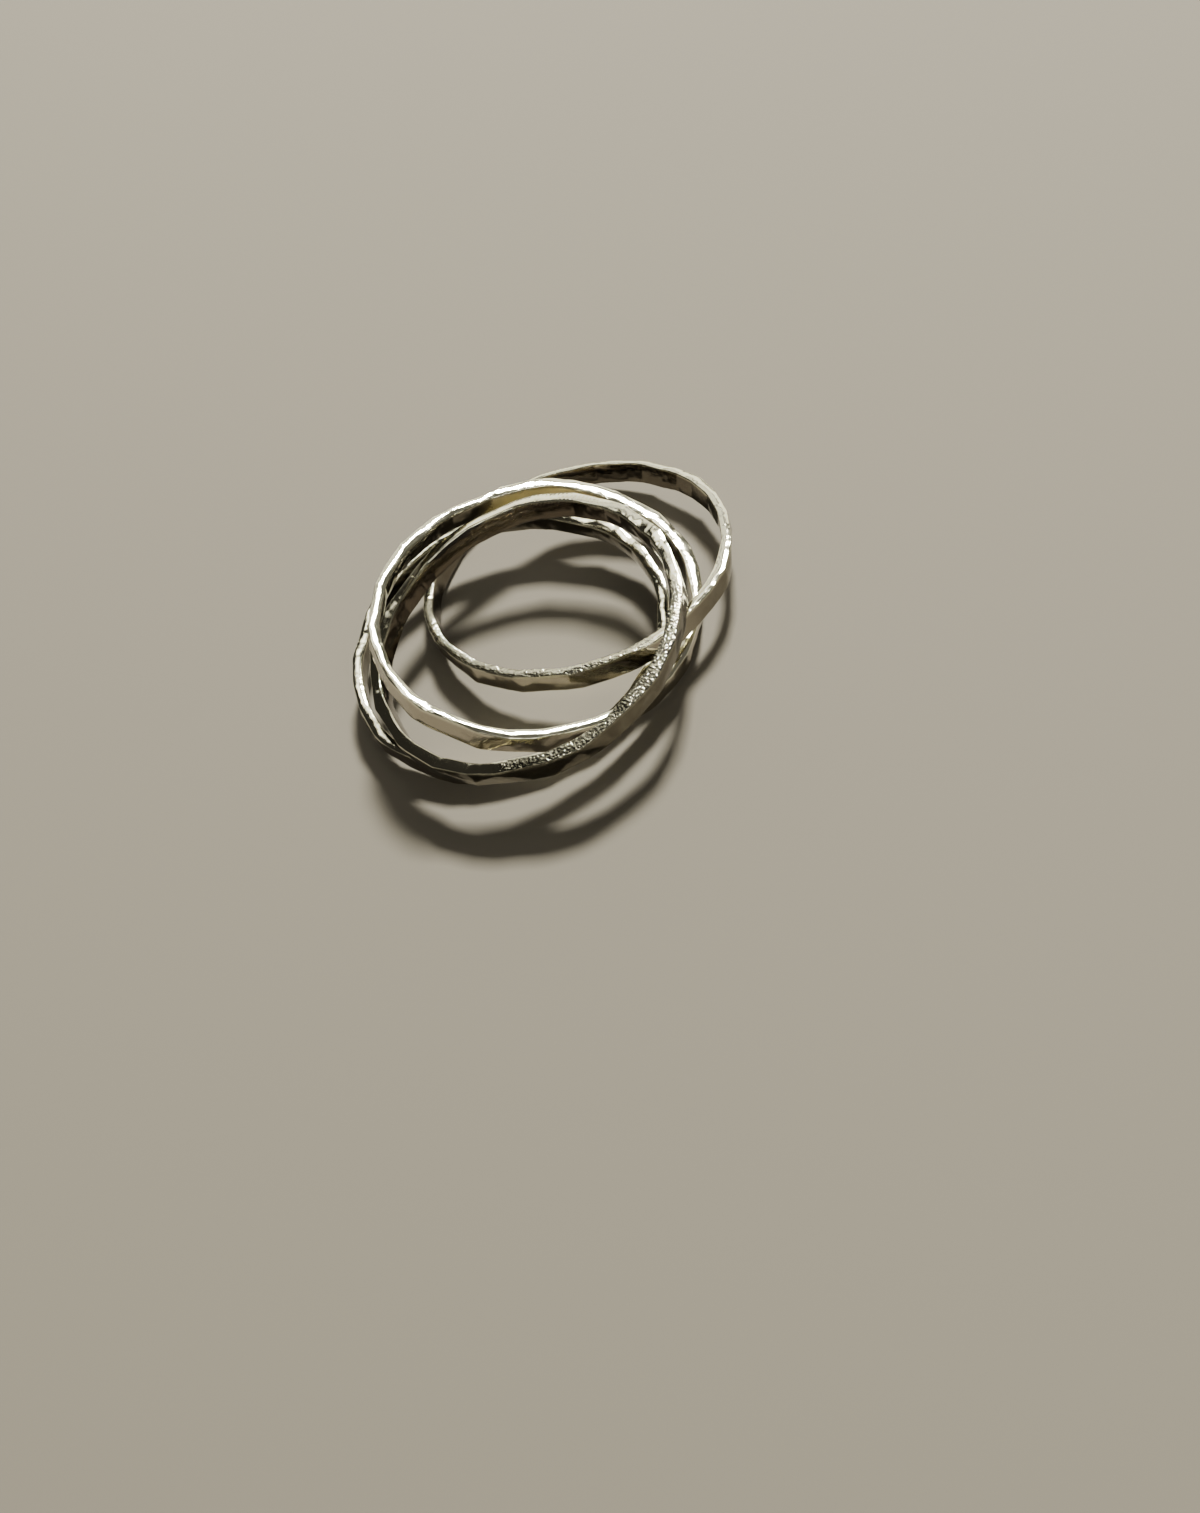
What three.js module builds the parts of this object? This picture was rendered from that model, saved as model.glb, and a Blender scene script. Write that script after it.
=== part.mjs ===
// A finger ring of four plain hammered bands that link into each other, lying loose on a flat surface.
// Millimetres, Z up. X runs to the right and Y away from the viewer, and the pile rests on Z = 0.

import * as THREE from 'three';

// Driving dimensions
const BORE = 17.3; // inner diameter of a round band
const BAND_WIDTH = 1.25; // along the finger
const BAND_THICKNESS = 0.75; // from the bore to the outer face, before hammering
const EDGE_BEVEL = 0.12; // worn corner along all four edges of a band
const CLEARANCE = 0.25; // air between two bands where one lies over the other

// Hammering of the outer face: flats side by side, with a corner between each two
const HAMMER_MARKS = 28; // flats round one band
const MARK_DEPTH = 0.14; // how far the deepest corner lies under the band's full thickness
const MARK_STRAY = 0.26; // how far a corner strays from even spacing, as a share of the spacing
const BORE_FOLLOWS = 0.7; // how far the bore bends along with the flats, from 0, round, to 1, flat-sided
const STEPS_PER_MARK = 3; // sections along one flat

// How the bands lie. Offsets are shares of the mid radius, heights count layers of one band lying on another.
// strike: where the hammering starts, so that no two bands have the same marks
// size, wall: mid radius and thickness, as shares of the named ones
// oval, oval_azimuth: how far the band is out of round, as a share of its radius, and its long direction
// offset_x, offset_y: centre of the band in plan
// low_azimuth: direction of the band's low side, in degrees from X
// drop: height of the high side over the low side, in layers
// lift: height of the lowest corner over the surface, in layers
const BANDS = [
  {
    name: 'band_upper_right', color: 0xb9b5ab, strike: 0.4,
    size: 0.995, wall: 0.93, oval: 0.045, oval_azimuth: -47,
    offset_x: 0.41, offset_y: 0.05, low_azimuth: 108, drop: 1.25, lift: 0,
  },
  {
    name: 'band_bright_side', color: 0xd9d6cc, strike: 1.7,
    size: 1.03, wall: 0.98, oval: 0.035, oval_azimuth: 44,
    offset_x: 0.065, offset_y: -0.3, low_azimuth: -17, drop: 3.4, lift: 0,
  },
  {
    name: 'band_rough_front', color: 0xa5a19a, strike: 2.9,
    size: 1, wall: 1.12, oval: 0.01, oval_azimuth: 40,
    offset_x: -0.05, offset_y: -0.515, low_azimuth: -152, drop: 1.24, lift: 1.39,
  },
  {
    name: 'band_outer_left', color: 0xc4c0b6, strike: 4.3,
    size: 0.985, wall: 0.96, oval: 0.035, oval_azimuth: 0,
    offset_x: -0.163, offset_y: -0.285, low_azimuth: -90, drop: 1.26, lift: 0,
  },
];

const MID_RADIUS = (BORE + BAND_THICKNESS) / 2;
const LAYER = BAND_WIDTH + CLEARANCE;
const FULL_TURN = 2 * Math.PI;

// The corner before flat number i, at its own azimuth, dented by its own amounts at the upper and lower edge
function hammerCorner(band, i) {
  const turn = ((i % HAMMER_MARKS) + HAMMER_MARKS) % HAMMER_MARKS;
  const laps = Math.floor(i / HAMMER_MARKS);
  const stray = MARK_STRAY * Math.sin(band.strike + 2.4 * turn);
  const azimuth = FULL_TURN * (laps + (turn + stray) / HAMMER_MARKS);
  const upper = MARK_DEPTH * (0.5 + 0.5 * Math.sin(3 * band.strike + 1.9 * turn));
  const lower = MARK_DEPTH * (0.5 + 0.5 * Math.sin(5 * band.strike + 2.9 * turn));
  return { azimuth, upper, lower };
}

// Radius of the straight line between two corners, seen from the band's axis at an azimuth between them
function chordRadius(azimuth, startAzimuth, startRadius, endAzimuth, endRadius) {
  const span = Math.sin(endAzimuth - startAzimuth) * startRadius * endRadius;
  const reach = startRadius * Math.sin(azimuth - startAzimuth) + endRadius * Math.sin(endAzimuth - azimuth);
  return span / reach;
}

// How far the band's mid line stands out from or in under its mean radius at this azimuth
function ovalOffset(band, radius, azimuth) {
  const long = THREE.MathUtils.degToRad(band.oval_azimuth);
  return band.oval * radius * Math.cos(2 * (azimuth - long));
}

// The section of a band at one azimuth, as corner points of radius and height, going round once
function bandSection(band, radius, start, end, azimuth) {
  const offset = ovalOffset(band, radius, azimuth);
  const thickness = BAND_THICKNESS * band.wall;
  const round = radius - thickness / 2;
  const full = radius + thickness / 2;
  const flat = chordRadius(azimuth, start.azimuth, round, end.azimuth, round);
  const bore = THREE.MathUtils.lerp(round, flat, BORE_FOLLOWS) + offset;
  const upperChord = chordRadius(azimuth, start.azimuth, full - start.upper, end.azimuth, full - end.upper);
  const lowerChord = chordRadius(azimuth, start.azimuth, full - start.lower, end.azimuth, full - end.lower);
  const upper = upperChord + offset;
  const lower = lowerChord + offset;
  const side = BAND_WIDTH / 2;
  return [
    [bore, side - EDGE_BEVEL],
    [bore, EDGE_BEVEL - side],
    [bore + EDGE_BEVEL, -side],
    [lower - EDGE_BEVEL, -side],
    [lower, EDGE_BEVEL - side],
    [upper, side - EDGE_BEVEL],
    [upper - EDGE_BEVEL, side],
    [bore + EDGE_BEVEL, side],
  ];
}

// One closed band about its own Z axis, with the hammered flats on its outer face
function bandGeometry(band, radius) {
  const positions = [];
  for (let i = 0; i < HAMMER_MARKS; i += 1) {
    const start = hammerCorner(band, i);
    const end = hammerCorner(band, i + 1);
    for (let j = 0; j < STEPS_PER_MARK; j += 1) {
      const azimuth = THREE.MathUtils.lerp(start.azimuth, end.azimuth, j / STEPS_PER_MARK);
      for (const [r, z] of bandSection(band, radius, start, end, azimuth)) {
        positions.push(r * Math.cos(azimuth), r * Math.sin(azimuth), z);
      }
    }
  }
  const sections = HAMMER_MARKS * STEPS_PER_MARK;
  const corners = positions.length / 3 / sections;
  const faces = [];
  for (let i = 0; i < sections; i += 1) {
    const here = i * corners;
    const next = ((i + 1) % sections) * corners;
    for (let j = 0; j < corners; j += 1) {
      const k = (j + 1) % corners;
      faces.push(here + j, next + j, here + k);
      faces.push(here + k, next + j, next + k);
    }
  }
  const geometry = new THREE.BufferGeometry();
  geometry.setAttribute('position', new THREE.Float32BufferAttribute(positions, 3));
  geometry.setIndex(faces);
  geometry.computeVertexNormals();
  return geometry;
}

// A band tilted towards its low side, with its lowest corner at its own lift over the surface
function placeBand(band) {
  const radius = MID_RADIUS * band.size;
  const material = new THREE.MeshStandardMaterial({ color: band.color, roughness: 0.18, metalness: 1 });
  const mesh = new THREE.Mesh(bandGeometry(band, radius), material);
  mesh.name = band.name;
  const low = THREE.MathUtils.degToRad(band.low_azimuth);
  const tilt = Math.asin((band.drop * LAYER) / (2 * radius));
  const hinge = new THREE.Vector3(-Math.sin(low), Math.cos(low), 0);
  mesh.quaternion.setFromAxisAngle(hinge, tilt);
  mesh.updateMatrix();
  const turned = mesh.geometry.clone().applyMatrix4(mesh.matrix);
  turned.computeBoundingBox();
  const height = band.lift * LAYER - turned.boundingBox.min.z;
  mesh.position.set(band.offset_x * MID_RADIUS, band.offset_y * MID_RADIUS, height);
  return mesh;
}

const ring = new THREE.Group();
for (const band of BANDS) {
  ring.add(placeBand(band));
}

// The origin is at the centre of the pile's plan, on the surface
const bounds = new THREE.Box3().setFromObject(ring, true);
const centre = bounds.getCenter(new THREE.Vector3());
for (const mesh of ring.children) {
  mesh.position.sub(new THREE.Vector3(centre.x, centre.y, bounds.min.z));
}

export default ring;
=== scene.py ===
"""Looks of the interlocking ring: fine hammered silver bands, a pale floor, studio light and the camera."""

import math

import bpy
import numpy as np
from mathutils import Matrix, Vector
from mathutils.bvhtree import BVHTree


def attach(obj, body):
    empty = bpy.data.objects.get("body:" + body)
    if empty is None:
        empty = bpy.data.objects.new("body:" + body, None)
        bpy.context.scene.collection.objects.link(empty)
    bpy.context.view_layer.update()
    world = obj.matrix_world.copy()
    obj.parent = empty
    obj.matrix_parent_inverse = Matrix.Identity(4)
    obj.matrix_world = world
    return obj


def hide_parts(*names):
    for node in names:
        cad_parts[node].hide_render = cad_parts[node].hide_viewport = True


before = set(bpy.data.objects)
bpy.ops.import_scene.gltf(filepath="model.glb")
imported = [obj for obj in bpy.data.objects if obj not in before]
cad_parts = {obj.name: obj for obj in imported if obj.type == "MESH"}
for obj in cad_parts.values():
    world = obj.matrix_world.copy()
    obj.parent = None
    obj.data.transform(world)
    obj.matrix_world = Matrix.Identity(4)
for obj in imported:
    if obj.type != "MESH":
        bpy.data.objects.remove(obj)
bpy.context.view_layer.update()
MM = 0.001
FULL_TURN = 2 * math.pi

# Photograph's frame and the camera that took it
PHOTO_HEIGHT = 1513
CAMERA_PLACE_MM = (-0.52, -83.06, 84.52)
CAMERA_ELEVATION = 49.0
CAMERA_ROLL = -24.6
FOCAL_PIXELS = 2044
SENSOR_MM = 36.0

# Fine mesh of a band: sections round it, and points along each side of a section and each of its corners
SECTIONS = 1100
TOP_POINTS = 12
OUTER_POINTS = 14
BOTTOM_POINTS = 7
BORE_POINTS = 9
CORNER_POINTS = 6

# Reading of the solid bands, in mm
EDGE_BEVEL = 0.12  # their own worn corner
EDGE_MARGIN = 0.02  # from that corner to the place where the outer face is read
PROBE_RADIUS = 14.0  # well outside every band

# Looks of each band. Azimuths are in degrees from X round the band's own axis, anticlockwise from above.
# A stretch goes from one azimuth to the next, and from 0 to 0 there is none.
# seed: of its own hammering
# marks: hammer marks on the outer face besides the solid's flats
# crown: how far the upper side stands up in its middle, in mm
# bevel_outer, bevel_inner: mean radius of the worn corners, in mm
# rolls: how far the section is rolled over, upper side outward, in degrees, as pairs of azimuth and roll
# bulges: how much further out the whole band stands, in mm, as pairs of azimuth and distance
# rough: stretch of the upper side that is left rough
# dull: how much darker the rough stretch is
# flare: stretch where blows spread the upper edge outward, and how far, in mm
# scallops: stretch where the outer edge is nibbled by small blows
# teeth: stretch with file marks across the upper side
# golden_reflection: stretch of the bore painted golden, a painted reflection of the warmly lit floor
# painted_shade: stretch where the outer face is painted darker, painted shade for the shaded floor that it
# mirrors
# seam: azimuth of the soldered seam
# flank, bore: colours of the outer face and the bore, painted darker than the upper side as painted shade
# and reflection of the shaded floor and bands that they mirror
BANDS = {
    "band_upper_right": {
        "seed": 11, "marks": 46, "crown": 0.04, "bevel_outer": 0.09, "bevel_inner": 0.08,
        "rolls": ((0, 14), (30, 20), (60, 18), (90, 12), (130, 4), (180, 0), (270, 0), (320, 3)),
        "bulges": ((60, 0), (85, 0.15), (105, 0.4), (120, 0.25), (140, 0)),
        "rough": (150, 285), "dull": 0.25, "flare": (-75, 60, 0.05), "scallops": (120, 300),
        "teeth": (0, 0), "golden_reflection": (0, 0), "painted_shade": (-75, 75), "seam": 80,
        "flank": (0.42, 0.385, 0.32, 1), "bore": (0.11, 0.095, 0.075, 1),
    },
    "band_bright_side": {
        "seed": 23, "marks": 52, "crown": 0.036, "bevel_outer": 0.10, "bevel_inner": 0.11,
        "rolls": ((0, 0), (90, 0), (180, -2), (270, 0)),
        "bulges": (
            (-5, 0.05), (10, 0.2), (26, 0.2), (36, 0.05), (44, 0.1), (54, 0.4),
            (64, 0.55), (75, 0.27), (88, 0.02), (100, -0.04), (120, 0),
        ),
        "rough": (0, 0), "dull": 0.0, "flare": (-25, 100, 0.2), "scallops": (-10, 100),
        "teeth": (0, 0), "golden_reflection": (35, 95), "painted_shade": (0, 0), "seam": 1,
        "flank": (0.50, 0.455, 0.38, 1), "bore": (0.11, 0.10, 0.08, 1),
    },
    "band_rough_front": {
        "seed": 37, "marks": 40, "crown": 0.016, "bevel_outer": 0.08, "bevel_inner": 0.10,
        "rolls": (
            (0, 3), (40, 11), (60, 20), (105, 19), (140, 9),
            (225, 3.5), (250, 0), (275, -2), (300, 0), (335, 1),
        ),
        "bulges": ((40, 0), (60, 0.12), (90, 0.12), (120, 0)),
        "rough": (240, 350), "dull": 0.9, "flare": (0, 0, 0), "scallops": (240, 300),
        "teeth": (36, 76), "golden_reflection": (0, 0), "painted_shade": (0, 0), "seam": 120,
        "flank": (0.14, 0.125, 0.10, 1), "bore": (0.12, 0.10, 0.08, 1),
    },
    "band_outer_left": {
        "seed": 53, "marks": 50, "crown": 0.024, "bevel_outer": 0.10, "bevel_inner": 0.08,
        "rolls": ((0, 0), (90, -4.5), (180, -4.5), (225, -3), (270, 0)),
        "bulges": ((40, 0), (60, 0.25), (80, 0.55), (105, 0.7), (130, 0.35), (150, 0)),
        "rough": (0, 0), "dull": 0.0, "flare": (-40, 110, 0.1), "scallops": (20, 120),
        "teeth": (0, 0), "golden_reflection": (0, 0), "painted_shade": (0, 0), "seam": 300,
        "flank": (0.34, 0.31, 0.27, 1), "bore": (0.11, 0.10, 0.08, 1),
    },
}

# Hammer marks on the outer face
MARK_SHAVE = 0.035  # mm, the deepest
MARK_LEAST = -0.4  # the shallowest, as a share of the deepest; below 0 a mark misses the metal
MARK_STRAY = 0.4  # how far a mark strays from even spacing, as a share of the spacing
MARK_TILT = 9.0  # degrees, the steepest
MARK_HEIGHT = 0.35  # mm, how far a mark's middle strays from the middle of the face
MARK_REACH = 0.25  # radians of azimuth that a mark can cover to each side

# Dents and worn corners of a section: knots round the band, and depth in mm or as a share
KNOT_STRAY = 0.6  # width of the range that a knot strays in, as a share of the spacing
SIDE_KNOTS = 46
SIDE_DENT = 0.03
LOWER_DENT = 0.6  # the lower side's dents, as a share of the upper side's
BEVEL_KNOTS = 40
BEVEL_VARIES = 0.45
SCALLOP_KNOTS = 112
SCALLOP = 0.032
SCALLOP_RISE = 0.2  # how far a nibble also moves the edge up or down, as a share of its depth
FLARE_BLEND = 30.0  # degrees over which a flare comes and goes

# How far the faces other than the upper side stand out in their middle, in mm
OUTER_CROWN = 0.015
BOTTOM_CROWN = 0.03
BORE_CROWN = 0.03

# Sections to each side over which a row of values is softened
SLIGHTLY = 1
DENTS_SOFTENED = 2
BEVELS_SOFTENED = 3
BULGES_SOFTENED = 20
ROLLS_SOFTENED = 25

# Roll of the sections
ROLL_VARIES = 2.0  # degrees
ROLL_KNOTS = 13
ROLL_KNOTS_SOFTENED = 20
LIFT = 0.3  # mm that a section would rise if it were rolled by a quarter turn

# Relief of the surface: depths, and sizes along the surface, in mm
SWELL = 0.009
SWELL_SIZE = 1.6
FINE_SWELL = 0.002
FINE_SIZE = 0.45
GRAIN = 0.0055
GRAIN_SIZE = 0.15
GRAIN_WAVES = 40
TEETH = 0.014
TEETH_ROUND = 232  # file marks that would go round the whole band
TEETH_KNOTS = 30
TEETH_STRAY = 2.0  # radians of a file mark's spacing
BURR = 0.02
BURR_WIDTH = 0.05
BURR_KNOTS = 24
SEAM_DEPTH = 0.012
SEAM_WIDTH = 0.07

# Heights in a section where the upper side starts, and where the outer face and the bore end, both with
# how softly, as shares of the band's width
UPPER_START = 0.3
UPPER_BLEND = 0.1
FLANK_END = 0.33
FLANK_BLEND = 0.14

# Degrees over which the painted golden reflection and the painted shade stretch come and go
GOLDEN_REFLECTION_BLEND = 12.0
PAINTED_SHADE_BLEND = 25.0

# Stretch where every bore is nearly as bright as the upper side, and how much of its painted shade goes
# there
BRIGHT_BORE = (195, 350)
BRIGHT_BORE_SHARE = 0.8
BRIGHT_BORE_BLEND = 25.0


def band_frame(solid):
    """Centre and axes of a band in mm, and its width: its axis is the normal of its flat upper side."""
    areas = {}
    for face in solid.data.polygons:
        key = tuple(round(c, 3) for c in face.normal)
        areas[key] = areas.get(key, 0.0) + face.area
    upward = {key: area for key, area in areas.items() if key[2] > 0.9}
    axis = np.array(Vector(max(upward, key=upward.get)).normalized())
    points = np.array([v.co for v in solid.data.vertices]) / MM
    heights = points @ axis
    middle = (heights.min() + heights.max()) / 2
    flat = points - np.outer(heights - middle, axis)
    centre = (flat.min(0) + flat.max(0)) / 2
    centre = centre + axis * (middle - centre @ axis)
    across = np.array((1.0, 0.0, 0.0))
    across = across - axis * (across @ axis)
    across = across / np.linalg.norm(across)
    return centre, across, np.cross(axis, across), axis, heights.max() - heights.min()


def solid_radii(solid, place, azimuths):
    """Radii of the solid in mm at each azimuth: its bore, and its outer face near both edges."""
    centre, across, along, axis, width = place
    points = [Vector(v.co) / MM for v in solid.data.vertices]
    faces = [tuple(face.vertices) for face in solid.data.polygons]
    tree = BVHTree.FromPolygons(points, faces)
    edge = width / 2 - EDGE_BEVEL - EDGE_MARGIN
    rows = []
    for azimuth in azimuths:
        outward = across * math.cos(azimuth) + along * math.sin(azimuth)
        row = [(tree.ray_cast(Vector(centre), Vector(outward))[0] - Vector(centre)).length]
        for height in (edge, -edge):
            level = centre + axis * height
            hit = tree.ray_cast(Vector(level + outward * PROBE_RADIUS), Vector(-outward))[0]
            row.append((hit - Vector(level)).length)
        rows.append(row)
    return np.array(rows).T


def kinked(azimuths, count, rng):
    """Random straight stretches between knots round the band, from -1 to 1."""
    knots = (np.arange(count) + KNOT_STRAY * rng.uniform(-0.5, 0.5, count)) * FULL_TURN / count
    return np.interp(azimuths, knots, rng.uniform(-1, 1, count), period=FULL_TURN)


def softened(values, reach):
    """Round the kinks of a closed row of values over a few neighbours."""
    total = sum(np.roll(values, shift, axis=0) for shift in range(-reach, reach + 1))
    return total / (2 * reach + 1)


def swell(points, size, rng, count=20):
    """Smooth random field at points, of about unit height, with bumps of the given size."""
    total = np.zeros(points.shape[:-1])
    for _ in range(count):
        direction = rng.normal(size=3)
        direction = direction / np.linalg.norm(direction)
        wave = direction * FULL_TURN / (size * rng.uniform(0.7, 1.5))
        total = total + np.sin(points @ wave + rng.uniform(0, FULL_TURN))
    return total * math.sqrt(2 / count)


def within(azimuths, stretch, blend=8.0):
    """1 between two azimuths in degrees, 0 elsewhere, with a soft change at both ends."""
    start, end = stretch
    if start == end:
        return np.zeros_like(azimuths)
    half = (end - start) / 2
    middle = start + half
    apart = np.abs((np.degrees(azimuths) - middle + 180) % 360 - 180)
    return np.clip((half - apart) / blend, 0, 1)


def along_table(azimuths, pairs):
    """Values of a row of pairs of azimuth in degrees and value, at every azimuth."""
    places, values = zip(*pairs)
    return np.interp(np.degrees(azimuths), places, values, period=360)


def apart_from(azimuths, place):
    """Azimuths measured from a place, in radians from minus half a turn to half a turn."""
    return (azimuths - place + math.pi) % FULL_TURN - math.pi


def above(level, width, start, blend):
    """0 below a height in the section and 1 above it, changing softly; both are shares of the width."""
    return np.clip((level - start * width) / (blend * width), 0, 1)


def face_row(first, last, points, crown, normal):
    """Rows of radius and height from one corner to the next, standing out by the crown in the middle."""
    rows = []
    for s in np.arange(1, points + 1) / (points + 1):
        out = crown * 4 * s * (1 - s)
        rows.append([a + (b - a) * s + out * n for a, b, n in zip(first, last, normal)])
    return rows


def corner_row(radius, height, bevel, start):
    """Rows of radius and height round a worn corner, through a quarter turn from start, in degrees."""
    rows = []
    for s in np.arange(CORNER_POINTS + 1) / CORNER_POINTS:
        angle = math.radians(start - 90 * s)
        rows.append([radius + bevel * math.cos(angle), height + bevel * math.sin(angle)])
    return rows


def band_sections(azimuths, radii, width, looks, rng):
    """Radius and height in mm of each section point, with dents, nibbled edge and worn corners."""
    out = softened(along_table(azimuths, looks["bulges"]), BULGES_SOFTENED)
    bore, upper, lower = (softened(row, SLIGHTLY) + out for row in radii)
    side = width / 2
    nibbles = SCALLOP * within(azimuths, looks["scallops"])
    nibbles = nibbles * softened(kinked(azimuths, SCALLOP_KNOTS, rng), SLIGHTLY)
    start, end, spread = looks["flare"]
    upper = upper + nibbles + spread * within(azimuths, (start, end), FLARE_BLEND)

    def dents():
        return SIDE_DENT * softened(kinked(azimuths, SIDE_KNOTS, rng), DENTS_SOFTENED)

    def worn(mean):
        return mean * (1 + BEVEL_VARIES * softened(kinked(azimuths, BEVEL_KNOTS, rng), BEVELS_SOFTENED))

    outer_edge = side + SCALLOP_RISE * nibbles + dents()
    inner_edge = side + dents()
    low_edge = -side + LOWER_DENT * dents()
    bevel = worn(looks["bevel_outer"])
    upper_outer = corner_row(upper - bevel, outer_edge - bevel, bevel, 90)
    bevel = worn(looks["bevel_outer"])
    lower_outer = corner_row(lower - bevel, low_edge + bevel, bevel, 0)
    bevel = worn(looks["bevel_inner"])
    lower_inner = corner_row(bore + bevel, low_edge + bevel, bevel, -90)
    bevel = worn(looks["bevel_inner"])
    upper_inner = corner_row(bore + bevel, inner_edge - bevel, bevel, -180)

    loop = upper_outer + face_row(upper_outer[-1], lower_outer[0], OUTER_POINTS, OUTER_CROWN, (1, 0))
    loop = loop + lower_outer
    loop = loop + face_row(lower_outer[-1], lower_inner[0], BOTTOM_POINTS, BOTTOM_CROWN, (0, -1))
    loop = loop + lower_inner
    loop = loop + face_row(lower_inner[-1], upper_inner[0], BORE_POINTS, BORE_CROWN, (-1, 0))
    loop = loop + upper_inner
    loop = loop + face_row(upper_inner[-1], upper_outer[0], TOP_POINTS, looks["crown"], (0, 1))
    radius = np.array([row[0] for row in loop]).T
    height = np.array([row[1] for row in loop]).T
    return radius, height


def hammer(azimuths, radius, height, looks, rng):
    """Shave small flats off the outer face, each with its own tilt."""
    count = looks["marks"]
    middle = radius.mean(1)[:, None]
    reach = np.max(radius, axis=1)
    places = (np.arange(count) + rng.uniform(-MARK_STRAY, MARK_STRAY, count)) * FULL_TURN / count
    for place in places:
        tilt = math.tan(math.radians(rng.uniform(-MARK_TILT, MARK_TILT)))
        level = rng.uniform(-MARK_HEIGHT, MARK_HEIGHT)
        shave = MARK_SHAVE * rng.uniform(MARK_LEAST, 1.0)
        apart = apart_from(azimuths, place)
        near = np.abs(apart) < MARK_REACH
        distance = np.interp(place, azimuths, reach) - shave
        plane = (distance - tilt * (height[near] - level)) / np.cos(apart[near])[:, None]
        outer = radius[near] > middle[near]
        radius[near] = np.where(outer, np.minimum(radius[near], plane), radius[near])
    return radius


def rolled(azimuths, middle, radius, height, looks, rng):
    """Roll each section about its own middle, upper side outward."""
    roll = softened(along_table(azimuths, looks["rolls"]), ROLLS_SOFTENED)
    roll = roll + ROLL_VARIES * softened(kinked(azimuths, ROLL_KNOTS, rng), ROLL_KNOTS_SOFTENED)
    turn = np.radians(roll)[:, None]
    offset = radius - middle
    turned = middle + offset * np.cos(turn) + height * np.sin(turn)
    height = height * np.cos(turn) - offset * np.sin(turn) + LIFT * np.abs(np.sin(turn))
    return turned, height


def relief(azimuths, points, middle, offset, level, width, looks, rng):
    """How far each point is pushed out, in mm: swells, grain, file marks, a burr and the seam's groove."""
    rough = within(azimuths, looks["rough"])[:, None]
    upward = above(level, width, UPPER_START, UPPER_BLEND)
    push = SWELL * swell(points, SWELL_SIZE, rng) + FINE_SWELL * swell(points, FINE_SIZE, rng)
    push = push + GRAIN * rough * upward * swell(points, GRAIN_SIZE, rng, GRAIN_WAVES)
    strays = TEETH_STRAY * kinked(azimuths, TEETH_KNOTS, rng)
    file_marks = (0.5 + 0.5 * np.sin(TEETH_ROUND * azimuths + strays)) ** 2
    push = push - TEETH * upward * (within(azimuths, looks["teeth"]) * file_marks)[:, None]
    from_lower_edge = level + width / 2 - looks["bevel_outer"]
    burr = np.exp(-((from_lower_edge / BURR_WIDTH) ** 2)) * (offset > 0)
    push = push + BURR * burr * (0.5 + 0.5 * kinked(azimuths, BURR_KNOTS, rng))[:, None]
    from_seam = apart_from(azimuths, math.radians(looks["seam"])) * middle[:, 0]
    return push - SEAM_DEPTH * np.exp(-((from_seam / SEAM_WIDTH) ** 2))[:, None]


def closed_mesh(name, points):
    """Mesh of quads through points in rows, closed round the band and round each section."""
    sections, loop_points = points.shape[:2]
    index = np.arange(sections * loop_points).reshape(sections, loop_points)
    beyond = np.roll(index, -1, axis=0)
    quads = np.stack((index, np.roll(index, -1, axis=1), np.roll(beyond, -1, axis=1), beyond), -1)
    mesh = bpy.data.meshes.new(name)
    mesh.from_pydata(points.reshape(-1, 3).tolist(), [], quads.reshape(-1, 4).tolist())
    mesh.shade_smooth()
    return mesh


def add_band_map(mesh, radius, height, middle):
    """Length along the band and round its section, in mm, for the lines that polishing left."""
    layer = mesh.uv_layers.new(name="band_map")
    sections, loop_points = radius.shape
    length_step = FULL_TURN * middle.mean() / sections
    girth = np.hypot(np.diff(radius[0]), np.diff(height[0])).sum()
    girth_step = girth / loop_points
    i, j = np.meshgrid(np.arange(sections), np.arange(loop_points), indexing="ij")
    corner_u = np.stack((i, i, i + 1, i + 1), -1) * length_step
    corner_v = np.stack((j, j + 1, j + 1, j), -1) * girth_step
    layer.data.foreach_set("uv", np.stack((corner_u, corner_v), -1).astype(np.float32).ravel())


def add_attributes(mesh, azimuths, offset, level, width, looks):
    """How rough each point is, how much of it is outer face or bore, which take painted shade, and how much
    takes the painted golden reflection or the painted shade stretch.
    """
    rough = within(azimuths, looks["rough"])[:, None] * above(level, width, UPPER_START, UPPER_BLEND)
    inner = offset < 0
    # The flank and bore masks carry the painted shade of the outer face, the bottom and the bore
    flank = 1 - above(level, width, FLANK_END, FLANK_BLEND)
    # Most of the bores' painted shade is lifted in this stretch
    flank = flank * (1 - BRIGHT_BORE_SHARE * within(azimuths, BRIGHT_BORE, BRIGHT_BORE_BLEND)[:, None] * inner)
    bore = flank * inner
    # Painted golden reflection on part of the bore
    golden_reflection = within(azimuths, looks["golden_reflection"], GOLDEN_REFLECTION_BLEND)[:, None] * bore
    # Painted shade: a darker stretch of the outer face
    painted_shade = within(azimuths, looks["painted_shade"], PAINTED_SHADE_BLEND)[:, None] * flank * (offset > 0)
    values = {"rough_side": rough, "flank": flank, "bore": bore, "golden_reflection": golden_reflection, "painted_shade": painted_shade}
    for name, value in values.items():
        attribute = mesh.attributes.new(name, "FLOAT", "POINT")
        attribute.data.foreach_set("value", value.astype(np.float32).ravel())


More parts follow.
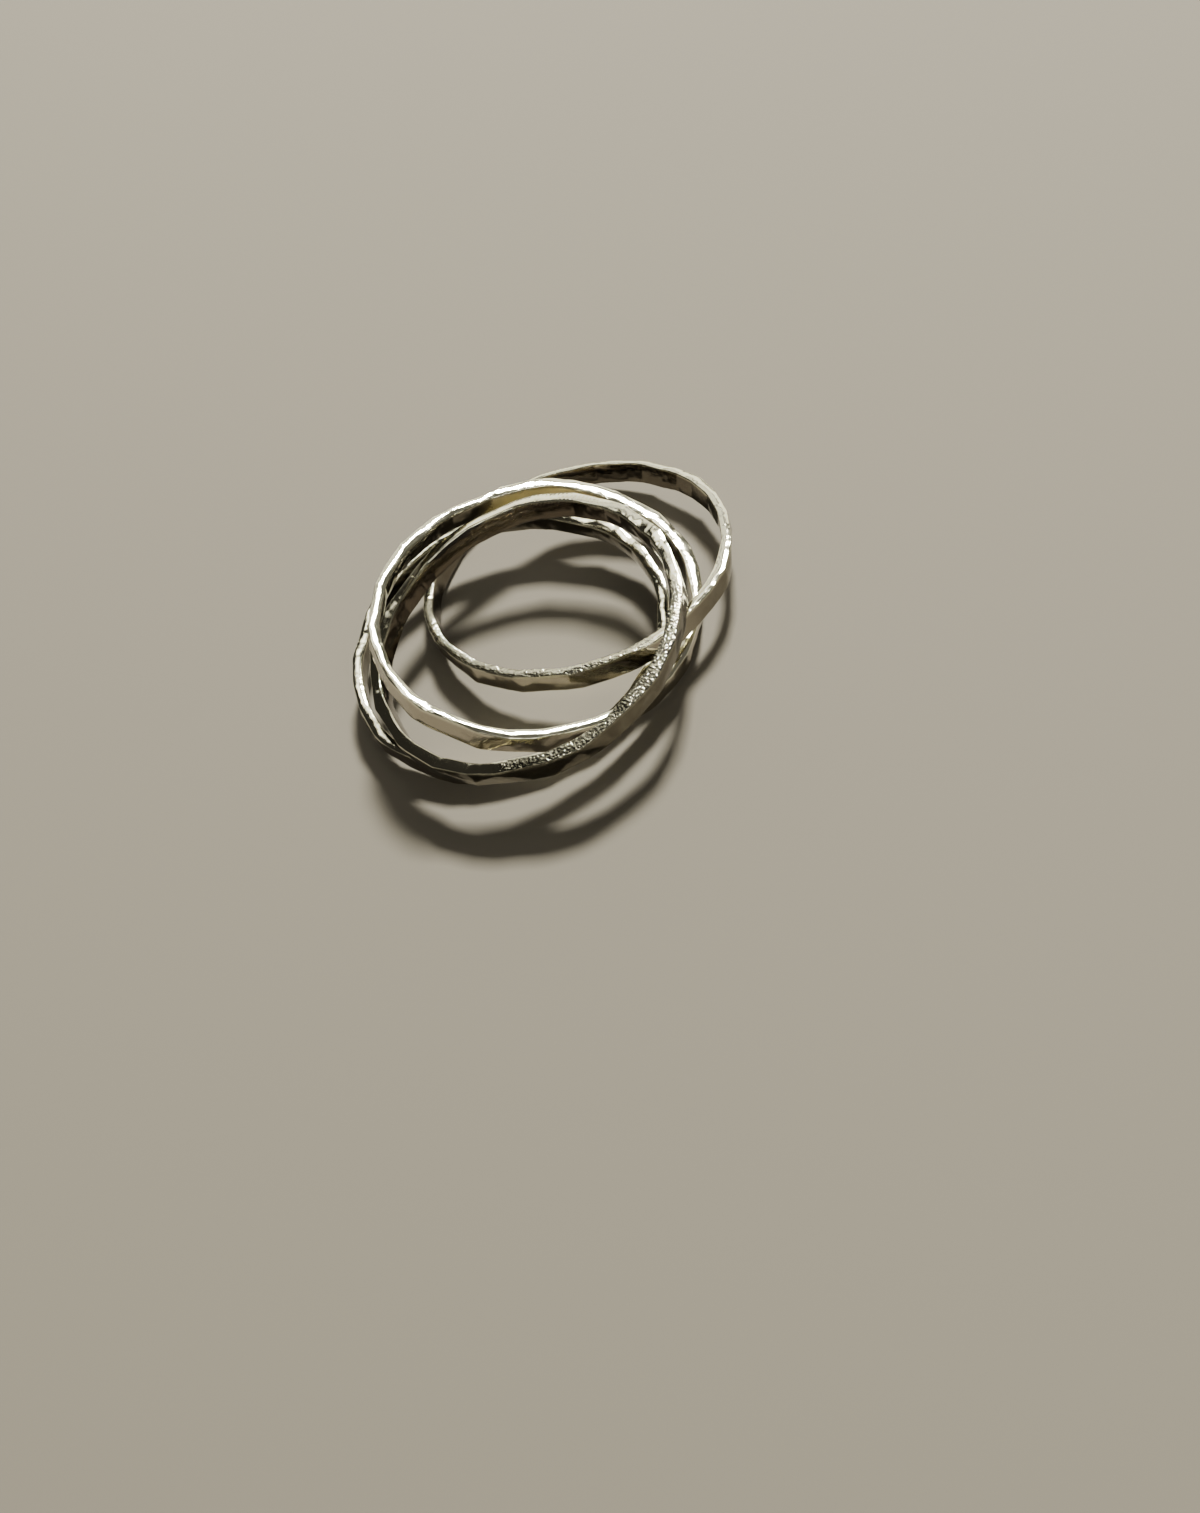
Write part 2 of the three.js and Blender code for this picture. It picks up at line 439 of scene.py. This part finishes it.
def make_band(node, solid):
    """Fine mesh in place of a solid band."""
    looks = BANDS[node]
    rng = np.random.default_rng(looks["seed"])
    azimuths = np.arange(SECTIONS) * FULL_TURN / SECTIONS
    place = band_frame(solid)
    centre, across, along, axis, width = place
    radii = solid_radii(solid, place, azimuths)
    radius, level = band_sections(azimuths, radii, width, looks, rng)
    radius = softened(hammer(azimuths, radius, level, looks, rng), SLIGHTLY)
    middle = radius.mean(1)[:, None]
    radius, height = rolled(azimuths, middle, radius, level, looks, rng)

    outward = np.cos(azimuths)[:, None] * across + np.sin(azimuths)[:, None] * along
    points = outward[:, None, :] * radius[:, :, None] + axis * height[:, :, None]
    offset = radius - middle
    reach = np.sqrt(offset ** 2 + height ** 2)
    push = relief(azimuths, points, middle, offset, level, width, looks, rng)
    radius = radius + push * offset / reach
    height = height + push * height / reach
    points = (outward[:, None, :] * radius[:, :, None] + axis * height[:, :, None] + centre) * MM

    mesh = closed_mesh(node + "_hammered", points)
    add_band_map(mesh, radius, height, middle)
    add_attributes(mesh, azimuths, offset, level, width, looks)
    band = bpy.data.objects.new(node + "_hammered", mesh)
    bpy.context.scene.collection.objects.link(band)
    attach(band, "root")
    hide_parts(node)
    return band


class Nodes:
    """Short names for adding shader nodes and links."""

    def __init__(self, name):
        self.material = bpy.data.materials.new(name)
        self.material.use_nodes = True
        self.tree = self.material.node_tree
        self.shader = self.tree.nodes["Principled BSDF"]

    def add(self, kind, **inputs):
        node = self.tree.nodes.new(kind)
        for key, value in inputs.items():
            self.put(node.inputs[key.replace("_", " ")], value)
        return node

    def noise(self, place, scale, detail, roughness):
        kind = "ShaderNodeTexNoise"
        return self.add(kind, Vector=place, Scale=scale, Detail=detail, Roughness=roughness).outputs[0]

    def put(self, socket, value):
        if isinstance(value, bpy.types.NodeSocket):
            self.tree.links.new(value, socket)
        else:
            socket.default_value = value

    def math(self, operation, first, second, clamp=False):
        node = self.tree.nodes.new("ShaderNodeMath")
        node.operation = operation
        node.use_clamp = clamp
        self.put(node.inputs[0], first)
        self.put(node.inputs[1], second)
        return node.outputs[0]

    def spread(self, value, low, high, new_low, new_high):
        node = self.tree.nodes.new("ShaderNodeMapRange")
        for place, number in enumerate((value, low, high, new_low, new_high)):
            self.put(node.inputs[place], number)
        return node.outputs[0]

    def attribute(self, name):
        node = self.tree.nodes.new("ShaderNodeAttribute")
        node.attribute_name = name
        return node.outputs["Fac"]

    def mix(self, factor, first, second):
        node = self.tree.nodes.new("ShaderNodeMix")
        node.data_type = "RGBA"
        self.put(node.inputs[0], factor)
        self.put(node.inputs[6], first)
        self.put(node.inputs[7], second)
        return node.outputs[2]


# Silver's colours
BRIGHT = (0.92, 0.905, 0.72, 1)
DULL = (0.13, 0.125, 0.10, 1)
DARK = (0.25, 0.22, 0.18, 1)
# Colour of the painted golden reflection
GOLDEN_REFLECTION = (1.0, 0.86, 0.44, 1)
# Colour of the painted shade stretch
PAINTED_SHADE = (0.16, 0.145, 0.115, 1)

# Textures, in waves per metre; the lines are stretched along the band, in waves per mm
CLOUD_SCALE = 420.0
SPECK_SCALE = 5200.0
GRAIN_SCALE = 7000.0
LINE_SCALES = (1.2, 26.0, 1.0)

# What a texture's value does, as two of its values and what each of them gives
FLANK_CLOUDS = (0.35, 0.7, 1.0, 0.85)
ALL_OVER_CLOUDS = (0.5, 0.75, 0.0, 0.25)
GOLDEN_REFLECTION_CLOUDS = (0.3, 0.5, 0.85, 1.0)
PAINTED_SHADE_CLOUDS = (0.3, 0.7, 1.0, 0.7)
DARK_SPECKS = (0.25, 0.38, 0.5, 0.0)

# Bright specks in the rough stretch: where the texture starts to give them and where it gives them
# in full, and how dull they still are, as a share of the metal around them
BRIGHT_SPECKS = (0.50, 0.60)
BRIGHT_SPECKS_DULL = 0.4

# Roughness of the surface, with rows like those of the clouds
POLISH = 0.05
CLOUD_GLOSS = (0.35, 0.7, POLISH, POLISH + 0.08)
LINE_GLOSS = (0.5, 0.8, 0.0, 0.06)
ROUGH_GLOSS = 0.02
GOLDEN_REFLECTION_GLOSS = 0.3

# Bumps too fine for the mesh: how far they stand out, in metres
LINE_BUMP = 0.00001
LINE_BUMP_STRENGTH = 0.25
GRAIN_BUMP = 0.000035


def silver(name, looks):
    """Silver with painted shade darkening the flanks and bores in clouds, a painted golden reflection, a
    painted shade stretch, dark specks, lines along the band and a grainy rough stretch.
    """
    n = Nodes(name)
    place = n.add("ShaderNodeTexCoord").outputs["Object"]
    band_map = n.add("ShaderNodeUVMap")
    band_map.uv_map = "band_map"
    rough, flank, bore, golden_reflection, painted_shade = (
        n.attribute(key) for key in ("rough_side", "flank", "bore", "golden_reflection", "painted_shade")
    )
    clouds = n.noise(place, CLOUD_SCALE, 4.0, 0.6)
    specks = n.noise(place, SPECK_SCALE, 3.0, 0.7)
    stretch = n.add("ShaderNodeMapping", Vector=band_map.outputs[0], Scale=LINE_SCALES).outputs[0]
    lines = n.noise(stretch, 1.0, 3.0, 0.6)

    # Painted shade: the outer face and bore are mixed towards the flank colour, more in some clouds, and
    # everything a little in clouds
    dark = n.math("MULTIPLY", flank, n.spread(clouds, *FLANK_CLOUDS))
    dark = n.math("ADD", dark, n.spread(clouds, *ALL_OVER_CLOUDS), True)
    colour = n.mix(dark, BRIGHT, looks["flank"])
    # Painted shade on the bores
    colour = n.mix(n.math("MULTIPLY", bore, n.spread(clouds, *FLANK_CLOUDS)), colour, looks["bore"])
    # Painted golden reflection on the bore
    colour = n.mix(n.math("MULTIPLY", golden_reflection, n.spread(clouds, *GOLDEN_REFLECTION_CLOUDS)), colour, GOLDEN_REFLECTION)
    # Painted shade stretch on the outer face
    colour = n.mix(n.math("MULTIPLY", painted_shade, n.spread(clouds, *PAINTED_SHADE_CLOUDS)), colour, PAINTED_SHADE)
    between_specks = n.spread(specks, *BRIGHT_SPECKS, looks["dull"], BRIGHT_SPECKS_DULL * looks["dull"])
    colour = n.mix(n.math("MULTIPLY", rough, between_specks), colour, DULL)
    colour = n.mix(n.spread(specks, *DARK_SPECKS), colour, DARK)
    n.put(n.shader.inputs["Base Color"], colour)
    n.shader.inputs["Metallic"].default_value = 1.0

    gloss = n.spread(clouds, *CLOUD_GLOSS)
    gloss = n.math("ADD", gloss, n.spread(lines, *LINE_GLOSS))
    gloss = n.math("ADD", gloss, n.math("MULTIPLY", rough, ROUGH_GLOSS))
    gloss = n.math("ADD", gloss, n.math("MULTIPLY", golden_reflection, GOLDEN_REFLECTION_GLOSS), True)
    n.put(n.shader.inputs["Roughness"], gloss)

    fine = n.add("ShaderNodeBump", Strength=LINE_BUMP_STRENGTH, Distance=LINE_BUMP, Height=lines)
    grain = n.noise(place, GRAIN_SCALE, 2.0, 0.6)
    bump = n.add(
        "ShaderNodeBump", Strength=rough, Distance=GRAIN_BUMP, Height=grain, Normal=fine.outputs[0]
    )
    n.put(n.shader.inputs["Normal"], bump.outputs[0])
    return n.material


def add_camera():
    elevation = math.radians(CAMERA_ELEVATION)
    roll = math.radians(CAMERA_ROLL)
    level = Vector((1, 0, 0))
    upright = Vector((0, math.sin(elevation), math.cos(elevation)))
    forward = Vector((0, math.cos(elevation), -math.sin(elevation)))
    right = level * math.cos(roll) + upright * math.sin(roll)
    up = upright * math.cos(roll) - level * math.sin(roll)
    data = bpy.data.cameras.new("camera")
    data.sensor_width = SENSOR_MM
    data.lens = FOCAL_PIXELS / PHOTO_HEIGHT * SENSOR_MM
    data.clip_start = 0.005
    data.clip_end = 10
    camera = bpy.data.objects.new("camera", data)
    turn = Matrix((right, up, -forward)).transposed().to_4x4()
    camera.matrix_world = Matrix.Translation(Vector(CAMERA_PLACE_MM) * MM) @ turn
    bpy.context.scene.collection.objects.link(camera)
    bpy.context.scene.camera = camera


FLOOR_HALF_SIZE = 3.0
FLOOR_COLOUR = (0.118, 0.107, 0.086, 1)


def add_floor():
    mesh = bpy.data.meshes.new("floor")
    signs = ((-1, -1), (1, -1), (1, 1), (-1, 1))
    corners = [(x * FLOOR_HALF_SIZE, y * FLOOR_HALF_SIZE, 0) for x, y in signs]
    mesh.from_pydata(corners, [], [(0, 1, 2, 3)])
    floor = bpy.data.objects.new("floor", mesh)
    bpy.context.scene.collection.objects.link(floor)
    n = Nodes("floor_paper")
    n.shader.inputs["Base Color"].default_value = FLOOR_COLOUR
    n.shader.inputs["Roughness"].default_value = 0.9
    mesh.materials.append(n.material)


# The room's even light, and the darker part of it behind and to the left, in degrees round its direction
ROOM_LIGHT = (0.11, 0.106, 0.094, 1)
FLAG_DARK = (0.026, 0.024, 0.020, 1)
FLAG_DIRECTION = (-0.28, 0.62, 0.735)
FLAG_INNER = 30.0
FLAG_OUTER = 42.0

# Lights. direction: from the object; spread: width and height in degrees; radiance: in W per m2 and sr
# warm: how warm the colour is, and for that a light loses green and blue
LIGHT_DISTANCE = 0.6
GREEN_LOST = 0.4
BLUE_LOST = 2.0
LIGHTS = (
    {
        "name": "key", "direction": (0.398, 0.569, 0.719),
        "spread": (9, 9), "radiance": 600, "warm": 0.07,
    },
    {
        "name": "soft_right", "direction": (0.43, 0.56, 0.71),
        "spread": (15, 14), "radiance": 3.5, "warm": 0.10,
    },
    {
        "name": "soft_top", "direction": (0.07, 0.47, 0.88),
        "spread": (11, 10), "radiance": 5.0, "warm": 0.09,
    },
    {
        "name": "soft_middle", "direction": (0.13, 0.63, 0.766),
        "spread": (13, 8), "radiance": 3.0, "warm": 0.10,
    },
    {
        "name": "soft_back", "direction": (0.02, 0.82, 0.573),
        "spread": (34, 13), "radiance": 1.25, "warm": 0.10,
    },
    {
        "name": "low_back", "direction": (0.25, 0.93, 0.27),
        "spread": (56, 20), "radiance": 2.0, "warm": 0.12,
    },
    {
        "name": "soft_front", "direction": (0.10, -0.80, 0.58),
        "spread": (50, 12), "radiance": 5.5, "warm": 0.08,
    },
    {
        "name": "soft_above", "direction": (0.0, -0.22, 0.975),
        "spread": (20, 12), "radiance": 1.4, "warm": 0.04,
    },
)


def add_room():
    world = bpy.data.worlds.new("room")
    bpy.context.scene.world = world
    world.use_nodes = True
    tree = world.node_tree
    sky = tree.nodes.new("ShaderNodeTexCoord")
    towards = tree.nodes.new("ShaderNodeVectorMath")
    towards.operation = "DOT_PRODUCT"
    tree.links.new(sky.outputs["Generated"], towards.inputs[0])
    towards.inputs[1].default_value = Vector(FLAG_DIRECTION).normalized()
    blend = tree.nodes.new("ShaderNodeMapRange")
    tree.links.new(towards.outputs["Value"], blend.inputs[0])
    blend.inputs[1].default_value = math.cos(math.radians(FLAG_OUTER))
    blend.inputs[2].default_value = math.cos(math.radians(FLAG_INNER))
    mix = tree.nodes.new("ShaderNodeMix")
    mix.data_type = "RGBA"
    tree.links.new(blend.outputs[0], mix.inputs[0])
    mix.inputs[6].default_value = ROOM_LIGHT
    mix.inputs[7].default_value = FLAG_DARK
    tree.links.new(mix.outputs[2], tree.nodes["Background"].inputs["Color"])


def add_lights():
    for row in LIGHTS:
        data = bpy.data.lights.new(row["name"], "AREA")
        data.shape = "RECTANGLE"
        data.size, data.size_y = (
            2 * LIGHT_DISTANCE * math.tan(math.radians(angle / 2)) for angle in row["spread"]
        )
        data.energy = row["radiance"] * math.pi * data.size * data.size_y
        data.color = (1, 1 - GREEN_LOST * row["warm"], 1 - BLUE_LOST * row["warm"])
        light = bpy.data.objects.new(row["name"], data)
        direction = Vector(row["direction"]).normalized()
        light.location = direction * LIGHT_DISTANCE
        light.rotation_euler = direction.to_track_quat("Z", "Y").to_euler()
        bpy.context.scene.collection.objects.link(light)


add_camera()
add_floor()
add_room()
add_lights()
for node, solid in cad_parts.items():
    band = make_band(node, solid)
    band.data.materials.append(silver(node + "_silver", BANDS[node]))
